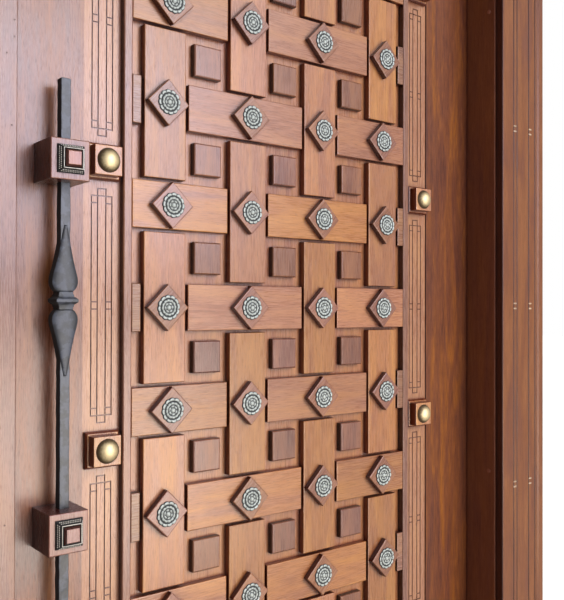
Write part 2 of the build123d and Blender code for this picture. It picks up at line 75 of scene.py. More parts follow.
# Light: a broad main light from the front right, a soft fill, a weak light from behind,
# and two wide pale cards, one above the other, that show only in the gloss of varnish
# and iron
main_azimuth = math.radians(24)
main_elevation = math.radians(32)
main_strength = 1.5
main_color = (1.0, 0.97, 0.94)
back_azimuth = math.radians(150)
back_elevation = math.radians(38)
back_strength = 0.9
back_color = (1.0, 1.0, 1.0)
sun_softness = math.radians(32)
fill_place = Vector((1.5, -2.9, 1.4))
fill_size = 2.4
fill_power = 44
fill_color = (1.0, 0.98, 0.96)
card_low_x = -0.65
card_high_x = 1.15
card_y = -1.9
card_middle_z = 1.25
card_gap = 0.34
card_height = 1.08
card_radiance = 9.8
upper_card_color = (0.80, 0.82, 1.0)
lower_card_color = (0.97, 0.89, 0.79)
world_strength = 0.27
floor_size = 60
floor_color = (0.8, 0.8, 0.8, 1.0)
floor_lift = 0.55  # what the floor adds to its own light, for the camera and the gloss
white = (1.0, 1.0, 1.0, 1.0)

# Eased edges of the wood
soft_edge = 0.0009
large_edge = 0.0022
bead_edge = 0.0006  # stays within the beads' narrow chamfer
centre_edge = 0.0005
pilaster_edge = 0.0003
edge_roundness = 0.6
smooth_angle = math.radians(30)
flat_angle = math.radians(0.5)
merge_distance = 1e-6
flat_weight = 80  # how far the large faces rule the shading at their edges

# Faces painted darker as shade: those turned away from the front, whose normal's share along
# Y is under a limit, and the floors of incised lines
side_limit = 0.45
block_side_limit = 0.8
centre_side_limit = 0.7
casing_side_limit = 0.75
bar_side_limit = 0.5
no_sides = 0.0
line_depth = 0.0015
no_lines = 1.0  # deeper than any piece, so that no floor is marked
# how much painted shade the floors of incised lines get
groove_painted_shade = 0.7

# Finish of the wood, and the painted shade in its crevices
figure_spread = 0.15
pore_range = (0.60, 0.74)
pore_strength = 0.6
tone_range = (0.86, 1.06)
hue_range = (0.492, 0.507)
saturation_range = (0.92, 1.10)
warmth_pull = 0.6
figure_pull = 2.6
crevice_reach = 0.013  # painted shade darkens the wood this near to an inner corner
panel_crevice_reach = 0.008
crevice_range = (0.45, 0.90)
crevice_strength = 0.9

# Forged bar of the handle: half widths, depths and lengths like its CAD node's, with dents
bar_half = 0.0094
bar_ease = 0.0012
dent_pitch = 0.014
dent_shift = 0.2  # as a share of the pitch
dent_depth = 0.0006
blade_foot = 0.0140
blade_belly = 0.0239
blade_shoulder = 0.0198
blade_waist = 0.0114
blade_tip = 0.0031
belly_at = 0.018
shoulder_at = 0.038
waist_at = 0.073
blade_end = 0.117
foot_curve = 0.7
belly_curve = 1.6
shoulder_curve = 0.9
blade_rise = 0.0009  # how far the blade's edges stand out from the bar
crown_depth = 0.0119
crown_fall = 0.0004
crown_curve = 2.2
crown_shine = 0.72
knuckle_height = 1.247
neck_half_length = 0.0155
neck_ease = 0.0014
neck_shine = 0.7

# The collar's half widths and heights from its foot up to its middle
neck_profile = (
    (0.0125, -0.0162), (0.0135, -0.0150), (0.0135, -0.0112), (0.0148, -0.0100),
    (0.0148, -0.0072), (0.0165, -0.0060), (0.0203, -0.0026), (0.0205, -0.0018),
)

# Relief of the rosettes, as shares of their radius and height: a boss, two rings of petals
# and a scalloped rim, with flat grooves between them
field_columns = 4
lobes = 12
boss_edge = 0.16
boss_fall = 0.25
boss_groove = 0.38
inner_petals_start = 0.24
inner_petals_end = 0.40
inner_petals_foot = 0.40
inner_petals_rise = 0.34
outer_petals_start = 0.46
outer_petals_end = 0.66
outer_petals_rise = 0.38
petal_groove = 0.36
petal_twist = 6
notch_depth = 0.85
rim_start = 0.73
rim_groove = 0.22
rim_foot = 0.24
rim_rise = 0.42
slit_depth = 0.95
scallop_depth = 0.08
edge_height = 0.2
shine_span = 0.45

# Section of a square ornament frame, as half width, height and shine, and its rows of
# beads, as half width and height
ornament_ease = 0.0003
ornament_profile = (
    (0.0148, 0.0, 0.0), (0.0148, 0.0110, 0.0), (0.0160, 0.0120, 0.0), (0.0163, 0.0137, 0.5),
    (0.0168, 0.0140, 0.7), (0.0176, 0.0140, 0.7), (0.0182, 0.0134, 0.5), (0.0184, 0.0112, 0.0),
    (0.0194, 0.0104, 0.0), (0.0236, 0.0026, 0.0), (0.0241, 0.0024, 0.3), (0.0245, 0.0018, 0.3),
    (0.0245, 0.0, 0.0),
)
bead_rows = ((0.0222, 0.0052), (0.0204, 0.0086))
bead_row_end = 0.0012
bead_radius = 0.0011
bead_pitch = 0.0031

# Small things on the casings: pairs of wooden keys across the grooves
key_columns = (0.051, 0.117)  # from the casing's inner edge
key_levels = (-0.465, 0.0, 0.465)
key_middle = 1.241
key_gap = 0.0132
key_width = 0.011
key_thickness = 0.004
key_root = 0.002
key_stand = 0.0008
key_ease = 0.0004
key_seat = 0.022  # from the casing's back to the faces that carry the keys

# Screws, plugs and filled nail holes, each a low cap with its root in what carries it
cap_root = 0.001
hinge_screw_offsets = (-0.042, 0.0, 0.042)
hinge_screw_y = 0.035
leaf_plate_x = 0.673
jamb_plate_x = 0.676
screw_radius = 0.004
screw_height = 0.0007
slot_depth = 0.0006
slot_reach = 0.8  # as a share of the screw's radius
slot_half = 0.2  # likewise
plug_x = 0.661
plug_y = -0.073
plug_levels = (0.811, 2.011)
plug_radius = 0.0056
plug_height = 0.0008
post_front_y = -0.012
nail_radius = 0.0016
nail_height = 0.0002
nail_places = (
    (-0.5665, 1.732), (-0.5665, 1.703), (-0.580, 1.672), (-0.5705, 1.549), (-0.579, 0.862),
)


def srgb(red, green, blue):
    """A colour given as it shows on a screen, 0 to 255, as linear values."""
    linear = []
    for value in (red, green, blue):
        part = value / 255
        linear.append(part / 12.92 if part <= 0.04045 else ((part + 0.055) / 1.055) ** 2.4)
    return (*linear, 1.0)


pore_shade = srgb(150, 125, 115)
# Painted shade: the colour that darkens faces turned away from the front
side_shade = srgb(128, 98, 92)
# Painted shade: the colour that darkens inner corners and crevices
crevice_shade = srgb(160, 110, 88)


# Shader building

def put(tree, socket, value):
    """Sets a socket to a value, or links another node's output to it."""
    if isinstance(value, bpy.types.NodeSocket):
        tree.links.new(value, socket)
    else:
        socket.default_value = value


def set_inputs(tree, node, **inputs):
    """Sets several inputs of a shader node, named with _ for each space."""
    for name, value in inputs.items():
        put(tree, node.inputs[name.replace("_", " ")], value)


def add(tree, kind, settings=None, **inputs):
    """A shader node whose inputs are values or other nodes' output sockets."""
    made = tree.nodes.new(kind)
    for name, value in (settings or {}).items():
        setattr(made, name, value)
    set_inputs(tree, made, **inputs)
    return made


def calculate(tree, operation, first, second):
    """The result of a two-number operation."""
    made = add(tree, "ShaderNodeMath", {"operation": operation})
    put(tree, made.inputs[0], first)
    put(tree, made.inputs[1], second)
    return made.outputs[0]


def weighted(tree, *pairs):
    """The sum of several values, each times its weight."""
    terms = [calculate(tree, "MULTIPLY", value, weight) for value, weight in pairs]
    total = terms[0]
    for term in terms[1:]:
        total = calculate(tree, "ADD", total, term)
    return total


def mixed(tree, factor, first, second, blend="MIX"):
    """Two colours mixed by a factor."""
    made = add(tree, "ShaderNodeMix", {"data_type": "RGBA", "blend_type": blend})
    put(tree, made.inputs[0], factor)
    put(tree, made.inputs[6], first)
    put(tree, made.inputs[7], second)
    return made.outputs[2]


def ranged(tree, value, low, high, to_low, to_high):
    """A value mapped smoothly from one range to another."""
    made = add(
        tree,
        "ShaderNodeMapRange",
        {"interpolation_type": "SMOOTHSTEP"},
        Value=value,
        From_Min=low,
        From_Max=high,
        To_Min=to_low,
        To_Max=to_high,
    )
    return made.outputs["Result"]


def ramp(tree, value, stops):
    """A colour ramp from pairs of place and colour."""
    made = add(tree, "ShaderNodeValToRGB", Fac=value)
    elements = made.color_ramp.elements
    while len(elements) < len(stops):
        elements.new(0.5)
    for element, (place, color) in zip(elements, stops):
        element.position = place
        element.color = color
    return made.outputs["Color"]


def attribute(tree, name, output="Fac"):
    """A value that the mesh carries."""
    return add(tree, "ShaderNodeAttribute", {"attribute_name": name}).outputs[output]


def object_place(tree):
    """The place on the object, in its own coordinates."""
    return add(tree, "ShaderNodeTexCoord").outputs["Object"]


def noise(tree, scale, detail):
    """Noise that is alike in all directions."""
    made = add(
        tree,
        "ShaderNodeTexNoise",
        Vector=object_place(tree),
        Scale=scale,
        Detail=detail,
    )
    return made.outputs["Fac"]


def stretched_noise(tree, vector, stretch, scale, detail, distortion=0.0):
    """Noise drawn out along the grain."""
    scaled = add(tree, "ShaderNodeVectorMath", {"operation": "MULTIPLY"})
    put(tree, scaled.inputs[0], vector)
    put(tree, scaled.inputs[1], (1, 1, stretch))
    made = add(
        tree,
        "ShaderNodeTexNoise",
        Vector=scaled.outputs["Vector"],
        Scale=scale,
        Detail=detail,
        Distortion=distortion,
    )
    return made.outputs["Fac"]


def add_bump(tree, shader, height, strength, distance):
    """Fine relief on a shader's normal."""
    bump = add(tree, "ShaderNodeBump", Height=height, Strength=strength, Distance=distance)
    put(tree, shader.inputs["Normal"], bump.outputs["Normal"])


def new_material(name):
    """A node material with its tree and its Principled shader."""
    material = bpy.data.materials.new(name)
    material.use_nodes = True
    shader = material.node_tree.nodes["Principled BSDF"]
    return material, material.node_tree, shader


def wood(name, dark, middle, light, roughness=0.28, contrast=0.85, gloss=0.5,
         painted_side_shade=side_shade, reach=crevice_reach):
    """Varnished wood with grain, pores, a tone of its own on each board, and painted shade on its
    sides and in its crevices.
    """
    material, tree, shader = new_material(name)
    grain = attribute(tree, "grain", "Vector")
    broad = stretched_noise(tree, grain, stretch=0.13, scale=22.0, detail=3.0, distortion=1.2)
    bands = stretched_noise(tree, grain, stretch=0.07, scale=120.0, detail=3.0, distortion=0.5)
    fine = stretched_noise(tree, grain, stretch=0.05, scale=560.0, detail=3.0)
    specks = stretched_noise(tree, grain, stretch=0.06, scale=1300.0, detail=1.0)
    pores = ranged(tree, specks, *pore_range, 0.0, 1.0)
    pores = calculate(tree, "MULTIPLY", pores, pore_strength)
    figure = weighted(tree, (broad, 0.42), (bands, 0.20), (fine, 0.38))
    spread = figure_spread / contrast
    color = ramp(tree, figure, [(0.5 - spread, dark), (0.5, middle), (0.5 + spread, light)])
    color = mixed(tree, pores, color, pore_shade, "MULTIPLY")
    drift = weighted(
        tree,
        (attribute(tree, "warmth"), warmth_pull),
        (broad, figure_pull),
        (-0.5, figure_pull),  # the noise lies around 0.5
    )
    varied = add(
        tree,
        "ShaderNodeHueSaturation",
        Color=color,
        Value=ranged(tree, attribute(tree, "tone"), -1.0, 1.0, *tone_range),
        Hue=ranged(tree, drift, -1.0, 1.0, *hue_range),
        Saturation=ranged(tree, drift, -1.0, 1.0, *saturation_range),
    )
    color = varied.outputs["Color"]
    # Painted shade: faces turned away from the front, and the floors of incised lines, are
    # darkened
    color = mixed(tree, attribute(tree, "side"), color, painted_side_shade, "MULTIPLY")
    # Painted shade: darker wood near inner corners, from ambient occlusion
    crevice = add(tree, "ShaderNodeAmbientOcclusion", {"samples": 6}, Distance=reach)
    painted_crevice_shade = ranged(tree, crevice.outputs["AO"], *crevice_range, crevice_strength, 0.0)
    polish = weighted(tree, (fine, 0.6), (broad, 0.4))
    set_inputs(
        tree,
        shader,
        Base_Color=mixed(tree, painted_crevice_shade, color, crevice_shade, "MULTIPLY"),
        Roughness=ranged(tree, polish, 0.35, 0.65, roughness - 0.04, roughness + 0.06),
        Specular_IOR_Level=gloss,
    )
    height = calculate(tree, "SUBTRACT", fine, pores)
    add_bump(tree, shader, height, strength=0.3, distance=0.0004)
    return material


def relief_metal(name, hollow_color, rubbed_color, metallic, low=0.7, high=1.2,
                 speckle_size=900.0):
    """Cast metal that is dark in its hollows and rubbed bright on its high places."""
    material, tree, shader = new_material(name)
    speckle = noise(tree, scale=speckle_size, detail=4.0)
    clouds = noise(tree, scale=speckle_size / 6, detail=3.0)
    wear = weighted(tree, (attribute(tree, "shine"), 1.0), (speckle, 0.35), (clouds, 0.35))
    rubbed = ranged(tree, wear, low, high, 0.0, 1.0)
    set_inputs(
        tree,
        shader,
        Base_Color=mixed(tree, rubbed, hollow_color, rubbed_color),
        Metallic=metallic,
        Roughness=ranged(tree, rubbed, 0.0, 1.0, 0.75, 0.5),
    )
    add_bump(tree, shader, speckle, strength=0.25, distance=0.0003)
    return material


def forged_iron(name):
    """Nearly black waxed iron with soft dents, dull on its sides and edges, with painted shade
    making its sides darker still.
    """
    material, tree, shader = new_material(name)
    dents = noise(tree, scale=60.0, detail=3.0)
    grains = noise(tree, scale=800.0, detail=3.0)
    side = attribute(tree, "side")
    color = ramp(
        tree,
        dents,
        [(0.42, srgb(20, 23, 30)), (0.5, srgb(35, 38, 47)), (0.58, srgb(62, 66, 78))],
    )
    bare = weighted(tree, (attribute(tree, "shine"), 1.0), (side, -1.0))
    rough = ranged(tree, bare, 0.0, 1.0, 0.95, 0.47)
    set_inputs(
        tree,
        shader,
        # Painted shade: the sides are mixed towards near-black
        Base_Color=mixed(tree, side, color, srgb(15, 11, 13)),
        Roughness=weighted(tree, (rough, 1.0), (dents, 0.25), (-0.5, 0.25)),
    )
    height = weighted(tree, (dents, 1.0), (grains, 0.1))
    add_bump(tree, shader, height, strength=0.5, distance=0.003)
    return material


def plain_steel(name):
    """Satin steel of the hinges and bolts."""
    material, tree, shader = new_material(name)
    brushed = stretched_noise(tree, object_place(tree), stretch=0.03, scale=900.0, detail=2.0)
    set_inputs(
        tree,
        shader,
        Base_Color=ramp(tree, brushed, [(0.3, srgb(120, 118, 114)), (0.7, srgb(158, 156, 152))]),
        Metallic=0.9,
        Roughness=ranged(tree, brushed, 0.3, 0.7, 0.35, 0.5),
    )
    return material


def dark_filler(name):
    """Dark wax in a nail hole."""
    material, tree, shader = new_material(name)
    mottle = noise(tree, scale=900.0, detail=2.0)
    set_inputs(
        tree,
        shader,
        Base_Color=ramp(tree, mottle, [(0.3, srgb(84, 54, 44)), (0.7, srgb(112, 76, 62))]),
        Roughness=0.6,
    )
    return material


# Materials, each wood from its dark, middle and light tones

leaf_wood = wood("leaf_wood", srgb(100, 56, 38), srgb(134, 82, 58), srgb(164, 106, 74))
hinge_wood = wood("hinge_wood", srgb(84, 41, 22), srgb(115, 62, 36), srgb(150, 88, 48),
                  roughness=0.4, contrast=1.15, gloss=0.25)
post_wood = wood("post_wood", srgb(112, 70, 54), srgb(142, 95, 74), srgb(166, 118, 94))
pilaster_wood = wood("pilaster_wood", srgb(166, 106, 64), srgb(188, 129, 82), srgb(206, 150, 102),
                     painted_side_shade=srgb(140, 90, 66))
cube_wood = wood("cube_wood", srgb(124, 76, 62), srgb(146, 94, 78), srgb(166, 114, 96))
board_wood = wood("board_wood", srgb(138, 82, 49), srgb(175, 114, 73), srgb(206, 145, 96),
                  contrast=0.7, painted_side_shade=srgb(166, 116, 94))
# A darker copy of the board wood for the cut board ends: painted shade
end_wood = wood("end_wood", srgb(122, 76, 54), srgb(150, 103, 76), srgb(174, 126, 96),
                contrast=0.7)
key_wood = wood("key_wood", srgb(170, 144, 114), srgb(200, 176, 148), srgb(220, 200, 174))
stud_wood = wood("stud_wood", srgb(104, 60, 42), srgb(133, 83, 61), srgb(160, 106, 80),
                 painted_side_shade=srgb(104, 72, 66))
diamond_wood = wood("diamond_wood", srgb(124, 74, 52), srgb(150, 97, 72), srgb(172, 119, 92),
                    painted_side_shade=srgb(126, 80, 66))
bead_wood = wood("bead_wood", srgb(120, 75, 55), srgb(146, 97, 74), srgb(168, 119, 94))
panel_wood = wood("panel_wood", srgb(146, 86, 54), srgb(174, 113, 76), srgb(196, 136, 96),
                  reach=panel_crevice_reach)
frame_wood = wood("frame_wood", srgb(109, 60, 38), srgb(135, 80, 54), srgb(158, 103, 74),
                  roughness=0.4, gloss=0.25)
# A darker copy of the frame wood for the jambs, head jamb and sill: painted shade of the reveals
jamb_wood = wood("jamb_wood", srgb(96, 52, 36), srgb(118, 68, 48), srgb(136, 84, 62),
                 roughness=0.4, gloss=0.25)
core_wood = wood("core_wood", srgb(132, 76, 60), srgb(152, 92, 74), srgb(170, 110, 90))

silver = relief_metal("rosette_metal", srgb(18, 24, 26), srgb(164, 170, 166), metallic=0.15,
                      high=1.15)
brass = relief_metal("dome_brass", srgb(70, 54, 32), srgb(190, 172, 132), metallic=0.6,
                     low=0.62, high=1.45, speckle_size=300.0)
bronze = relief_metal("ornament_metal", srgb(16, 16, 18), srgb(186, 182, 172), metallic=0.2)
iron = forged_iron("handle_iron")
steel = plain_steel("hinge_steel")
filler = dark_filler("nail_filler")


# Mesh building

def islands(bm):
    """Groups of faces that hang together, one group for each separate board."""
    groups = []
    waiting = set(bm.faces)
    while waiting:
        first = waiting.pop()
        group = [first]
        queue = [first]
        while queue:
            face = queue.pop()
            for edge in face.edges:
                for other in edge.link_faces:
                    if other in waiting:
                        waiting.discard(other)
                        group.append(other)
                        queue.append(other)
        groups.append(group)
    groups.sort(key=lambda faces: tuple(round(value, 4) for value in extent(faces)[0]))
    return groups


def extent(faces):
    """The lowest and the highest corner of a group of faces."""
    points = [vertex.co for face in faces for vertex in face.verts]
    low = Vector([min(point[axis] for point in points) for axis in range(3)])
    high = Vector([max(point[axis] for point in points) for axis in range(3)])
    return low, high


def node_mesh(node):
    """A CAD node's shape as a mesh to work on, with its doubled corners merged."""
    bm = bmesh.new()
    bm.from_mesh(frame["nodes"][node].data)
    bmesh.ops.remove_doubles(bm, verts=bm.verts, dist=merge_distance)
    return bm


def solid_extents(node):
    """The lowest and highest corner of each separate solid of a CAD node, from low to high."""
    bm = node_mesh(node)
    found = [extent(faces) for faces in islands(bm)]
    bm.free()
    return sorted(found, key=lambda corners: (round(corners[0].z, 4), corners[0].x))


def grain_axes(along):
    """Unit vectors across, through and along the grain, which may run on a diagonal."""
    if along == "X":
        return Vector((0, 0, 1)), Vector((0, 1, 0)), Vector((1, 0, 0))
    if along == "D":
        return Vector((1, 0, -1)).normalized(), Vector((0, 1, 0)), Vector((1, 0, 1)).normalized()
    return Vector((1, 0, 0)), Vector((0, 1, 0)), Vector((0, 0, 1))


def paint_grain(bm, name, along):
    """Stores on each board its grain coordinates, its tone and its warmth."""
    grain_layer = bm.verts.layers.float_vector.new("grain")
    tone_layer = bm.verts.layers.float.new("tone")
    warmth_layer = bm.verts.layers.float.new("warmth")
    across, through, length = grain_axes(along)
    for index, faces in enumerate(islands(bm)):
        chance = random.Random(f"{name} {index}")
        offset = Vector([chance.uniform(-20, 20) for _ in range(3)])
        tone = chance.uniform(-1, 1)
        warmth = chance.uniform(-1, 1)
        for face in faces:
            for vertex in face.verts:
                point = vertex.co
                place = Vector((point.dot(across), point.dot(through), point.dot(length)))
                vertex[grain_layer] = place + offset
                vertex[tone_layer] = tone
                vertex[warmth_layer] = warmth


def mark_sides(bm, limit, groove=no_lines):
    """Marks the faces that don't look to the front or the back, and the floors of grooves, for
    painted shade.
    """
    side_layer = bm.faces.layers.float.new("side")
    bm.normal_update()
    front = min(vertex.co.y for vertex in bm.verts)
    back = max(vertex.co.y for vertex in bm.verts)
    for face in bm.faces:
        depth = face.calc_center_median().y - front
        if abs(face.normal.y) < limit:
            face[side_layer] = 1.0
        elif groove < depth < (back - front) / 2:
            face[side_layer] = groove_painted_shade


def finished(bm, name, material, body, slot, *nodes):
    """Turns a built mesh into a piece that rides on a body and stands for CAD nodes."""
    mesh = bpy.data.meshes.new(name)
    bm.to_mesh(mesh)
    bm.free()
    piece = bpy.data.objects.new(name, mesh)
    bpy.context.scene.collection.objects.link(piece)
    mesh.materials.append(material)
    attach(piece, body)
    if nodes:
        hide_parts(*nodes)
    return piece


def smooth(piece):
    """Smooth shading all over a piece."""
    for polygon in piece.data.polygons:
        polygon.use_smooth = True


def smooth_edges(piece):
    """Smooth shading that keeps large flats flat."""
    smooth(piece)
    normals = piece.modifiers.new("weighted_normals", "WEIGHTED_NORMAL")
    normals.keep_sharp = True
    normals.weight = flat_weight


def rounded_wood(node, material, slot, along="Z", edge=soft_edge, limit=side_limit,
                 groove=no_lines):
    """The CAD node's own shape with its edges eased and its grain laid along one axis."""
    bm = node_mesh(node)
    bmesh.ops.dissolve_limit(bm, angle_limit=flat_angle, verts=bm.verts, edges=bm.edges)
    sharp = [
        item for item in bm.edges
        if item.is_manifold and item.calc_face_angle() > smooth_angle
    ]
    bmesh.ops.bevel(bm, geom=sharp, offset=edge, segments=2, profile=edge_roundness,
                    affect="EDGES", clamp_overlap=True)
    paint_grain(bm, node, along)
    mark_sides(bm, limit, groove)
    body = frame["nodes"][node]["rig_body"]
    smooth_edges(finished(bm, f"{node}_wood", material, body, slot, node))


def dress_wood():
    """Gives every wooden node its eased edges and its own wood."""
    for name in sorted(frame["nodes"]):
        if name.startswith("weave_upright"):
            rounded_wood(name, board_wood, "board_wood")
        elif name.startswith("weave_level"):
            rounded_wood(name, board_wood, "board_wood", "X")
        elif name == "weave_board_ends":
            rounded_wood(name, end_wood, "board_wood", "X")
        elif name.startswith("square_studs"):
            rounded_wood(name, stud_wood, "stud_wood")
        elif name.startswith("diamonds"):
            rounded_wood(name, diamond_wood, "diamond_wood", "D")
        elif name.startswith("block_"):
            rounded_wood(name, pilaster_wood, "pilaster_wood", limit=block_side_limit)
        elif name.startswith("handle_cube"):
            rounded_wood(name, cube_wood, "pilaster_wood")
        elif name == "handle_ornament_centres":
            rounded_wood(name, core_wood, "pilaster_wood", edge=centre_edge,
                         limit=centre_side_limit)
        elif name.startswith("pilaster"):
            rounded_wood(name, pilaster_wood, "pilaster_wood", edge=pilaster_edge,
                         groove=line_depth)
        elif name.startswith("bead"):
            along = "X" if name in ("bead_top", "bead_bottom") else "Z"
            rounded_wood(name, bead_wood, "bead_wood", along, edge=bead_edge)
    rounded_wood("field_panel", panel_wood, "board_wood")
    rounded_wood("leaf_core", leaf_wood, "leaf_wood")
    rounded_wood("lock_stile", leaf_wood, "leaf_wood")
    rounded_wood("hinge_stile", hinge_wood, "leaf_wood")
    for name in ("top_rail", "bottom_rail"):
        rounded_wood(name, leaf_wood, "leaf_wood", "X")
    rounded_wood("lock_post", post_wood, "post_wood", edge=large_edge)
    for name in ("jamb_lock_side", "jamb_hinge_side"):
        rounded_wood(name, jamb_wood, "frame_wood", edge=large_edge, limit=no_sides)
    for name in ("casing_lock_side", "casing_hinge_side"):
        rounded_wood(name, frame_wood, "frame_wood", limit=casing_side_limit)
    rounded_wood("casing_head", frame_wood, "frame_wood", "X", limit=casing_side_limit)
    for name in ("head_jamb", "sill"):
        rounded_wood(name, jamb_wood, "frame_wood", "X", edge=large_edge, limit=no_sides)


def dress_metal():
    """Gives the metal nodes that keep their CAD shape their finish."""
    for name in ("handle_bolts", "hinge_jamb_halves", "hinge_leaf_halves"):
        piece = frame["nodes"][name]
        piece.data.materials.clear()
        piece.data.materials.append(steel)


# Relief pieces, built ring by ring

def share_between(value, low, high):
    """How far a value has come from low to high, 0 to 1."""
    return (value - low) / (high - low)


def add_point(bm, layer, place, shine):
    """A corner of a relief, which carries how bright it is rubbed."""
    vertex = bm.verts.new(place)
    vertex[layer] = shine
    return vertex


def join_rings(bm, rings):
    """Faces between rings of the same number of points, each ring closed on itself."""
    for inner, outer in zip(rings, rings[1:]):
        count = len(inner)
        for index in range(count):
            following = (index + 1) % count
            bm.faces.new((inner[index], outer[index], outer[following], inner[following]))


def close_rod(bm, rings):
    """Faces along a rod's rings and over both its ends."""
    join_rings(bm, rings)
    bm.faces.new(rings[0][::-1])
    bm.faces.new(rings[-1])


def close_cap(bm, tip, rings):
    """Faces from a tip over its rings to a flat back."""
    for index, vertex in enumerate(rings[0]):
        bm.faces.new((tip, vertex, rings[0][(index + 1) % len(rings[0])]))
    join_rings(bm, rings)
    bm.faces.new(rings[-1][::-1])


def square_ring(bm, layer, middle, half, ease, level, shine, axis):
    """Eight points of a square with cut corners, at a level along an axis."""
    short = half - ease
    corners = ((half, short), (short, half), (-short, half), (-half, short),
               (-half, -short), (-short, -half), (short, -half), (half, -short))
    row = []
    for first, second in corners:
        offset = (first, -level, second) if axis == "Y" else (first, second, level)
        row.append(add_point(bm, layer, middle + Vector(offset), shine))
    return row


def round_point(bm, layer, middle, reach, angle, y, shine):
    """A corner of a round relief on the front, at a reach and an angle around its middle."""
    place = (middle.x + reach * math.cos(angle), y, middle.z + reach * math.sin(angle))
    return add_point(bm, layer, place, shine)


def rosette_relief(radius, angle):
    """Height of the rosette over its base, by place in its circle, all as shares."""
    if radius < boss_edge:
        return 1.0 - boss_fall * (radius / boss_edge) ** 2
    if radius < inner_petals_start:
        return boss_groove
    if radius < inner_petals_end:
        lift = math.sin(math.pi * share_between(radius, inner_petals_start, inner_petals_end))
        wave = 0.5 + 0.5 * math.cos(lobes * angle / 2)
        return inner_petals_foot + inner_petals_rise * lift * wave
    if radius < outer_petals_start:
        return petal_groove
    if radius < outer_petals_end:
        share = share_between(radius, outer_petals_start, outer_petals_end)
        lift = math.sin(math.pi * share) ** 0.9
        notch = max(0.0, math.cos(lobes * angle + petal_twist * radius)) ** 3
        return petal_groove + outer_petals_rise * lift * (1.0 - notch_depth * notch)
    if radius < rim_start:
        return rim_groove
    lift = math.sin(math.pi * min(1.0, share_between(radius, rim_start, 1.0))) ** 0.8
    slit = (1.0 - abs(math.cos(lobes / 2 * angle))) ** 3
    return rim_foot + rim_rise * lift * (1.0 - slit_depth * slit)


def rosette_outline(angle):
    """The rosette's scalloped edge as a share of its radius."""
    return 1.0 - scallop_depth + scallop_depth * abs(math.cos(lobes / 2 * angle)) ** 0.6


def build_rosettes():
    """The metal rosettes, each turned by chance, a piece for each column of the field."""
    for column in range(1, field_columns + 1):
        node = f"rosettes_{column}"
        bm = bmesh.new()
        layer = bm.verts.layers.float.new("shine")
        for low, high in solid_extents(node):
            turn = random.Random(f"{node} {low.z:.3f}").uniform(0, math.tau)
            add_rosette(bm, layer, low, high, turn)
        smooth(finished(bm, f"{node}_metal", silver, "leaf", "rosette_metal", node))


def add_rosette(bm, layer, low, high, turn, ring_count=26, spoke_count=96):
    """One rosette between two corners, its back on the wood and its relief towards -Y."""
    middle = (low + high) / 2
    radius = (high.x - low.x) / 2
    thickness = high.y - low.y
    tip = add_point(bm, layer, (middle.x, low.y, middle.z), 1.0)
    rings = []
    for ring in range(1, ring_count + 2):
        share = min(1.0, ring / ring_count)
        row = []
        for spoke in range(spoke_count):
            angle = math.tau * spoke / spoke_count
            if ring < ring_count:
                relief = rosette_relief(share, angle + turn)
            else:
                relief = edge_height if ring == ring_count else 0.0
            reach = radius * share * rosette_outline(angle + turn)
            shine = (relief - edge_height) / shine_span
            y = high.y - thickness * relief
            row.append(round_point(bm, layer, middle, reach, angle, y, shine))
        rings.append(row)
    close_cap(bm, tip, rings)


def build_domes():
    """Aged brass domes, darker towards the rim."""
    for side in ("lock_side", "hinge_side"):
        node = f"brass_domes_{side}"
        bm = bmesh.new()
        layer = bm.verts.layers.float.new("shine")
        for low, high in solid_extents(node):
            add_dome(bm, layer, low, high)
        smooth(finished(bm, f"{node}_metal", brass, "leaf", "dome_brass", node))


def add_dome(bm, layer, low, high, ring_count=18, spoke_count=56):
    """One shallow dome on the wood, a cap of a ball."""
    middle = (low + high) / 2
    radius = (high.x - low.x) / 2
    height = high.y - low.y
    ball = (radius**2 + height**2) / (2 * height)
    tip = add_point(bm, layer, (middle.x, low.y, middle.z), 1.0)
    rings = []
    for ring in range(1, ring_count + 1):
        share = math.sin(math.pi / 2 * ring / ring_count)
        rise = (ball**2 - (radius * share) ** 2) ** 0.5 - (ball - height)
        row = []
        for spoke in range(spoke_count):
            angle = math.tau * spoke / spoke_count
            y = high.y - max(rise, 0.0)
            row.append(round_point(bm, layer, middle, radius * share, angle, y, 1.0 - share**3))
        rings.append(row)
    close_cap(bm, tip, rings)


# Handle

def blade_half_width(distance):
    """Half width of a forged blade at a distance from the neck."""
    if distance < belly_at:
        rise = math.sin(math.pi / 2 * distance / belly_at) ** foot_curve
        return blade_foot + (blade_belly - blade_foot) * rise
    if distance < shoulder_at:
        share = share_between(distance, belly_at, shoulder_at)
        return blade_belly - (blade_belly - blade_shoulder) * share**belly_curve
    if distance < waist_at:
        share = share_between(distance, shoulder_at, waist_at)
        return blade_shoulder - (blade_shoulder - blade_waist) * share**shoulder_curve
    share = share_between(distance, waist_at, blade_end)
    return blade_waist - (blade_waist - blade_tip) * share


def blade_section(distance, middle, level):
    """Points around a blade at one distance: flat edges and crowned front and back."""
    half = blade_half_width(distance)
    on_bar = min(1.0, max(0.0, share_between(distance, shoulder_at, waist_at)))
    edge = bar_half + blade_rise * on_bar
    crown = crown_depth - crown_fall * on_bar
    steps = 8
    outline = []
    for step in range(steps + 1):
        across = 2 * step / steps - 1
        depth = edge + (crown - edge) * (1 - abs(across) ** crown_curve)
        outline.append(((half - bar_ease) * across, -depth, crown_shine * (1 - abs(across) ** 4)))
    outline += [(half, bar_ease - edge, 0.0), (half, edge - bar_ease, 0.0)]
    outline += [(-x, -y, shine) for x, y, shine in outline]
    return [(Vector((middle.x + x, middle.y + y, level)), shine) for x, y, shine in outline]


def add_blade(bm, layer, middle, upward):
    """A forged blade from the neck out along the bar, upwards for 1 and downwards for -1."""
    steps = 44
    rings = []
    for step in range(steps + 1):
        distance = blade_end * step / steps
        level = knuckle_height + upward * (neck_half_length + distance)
        section = blade_section(distance, middle, level)
        rings.append([add_point(bm, layer, place, shine) for place, shine in section])
    close_rod(bm, rings)


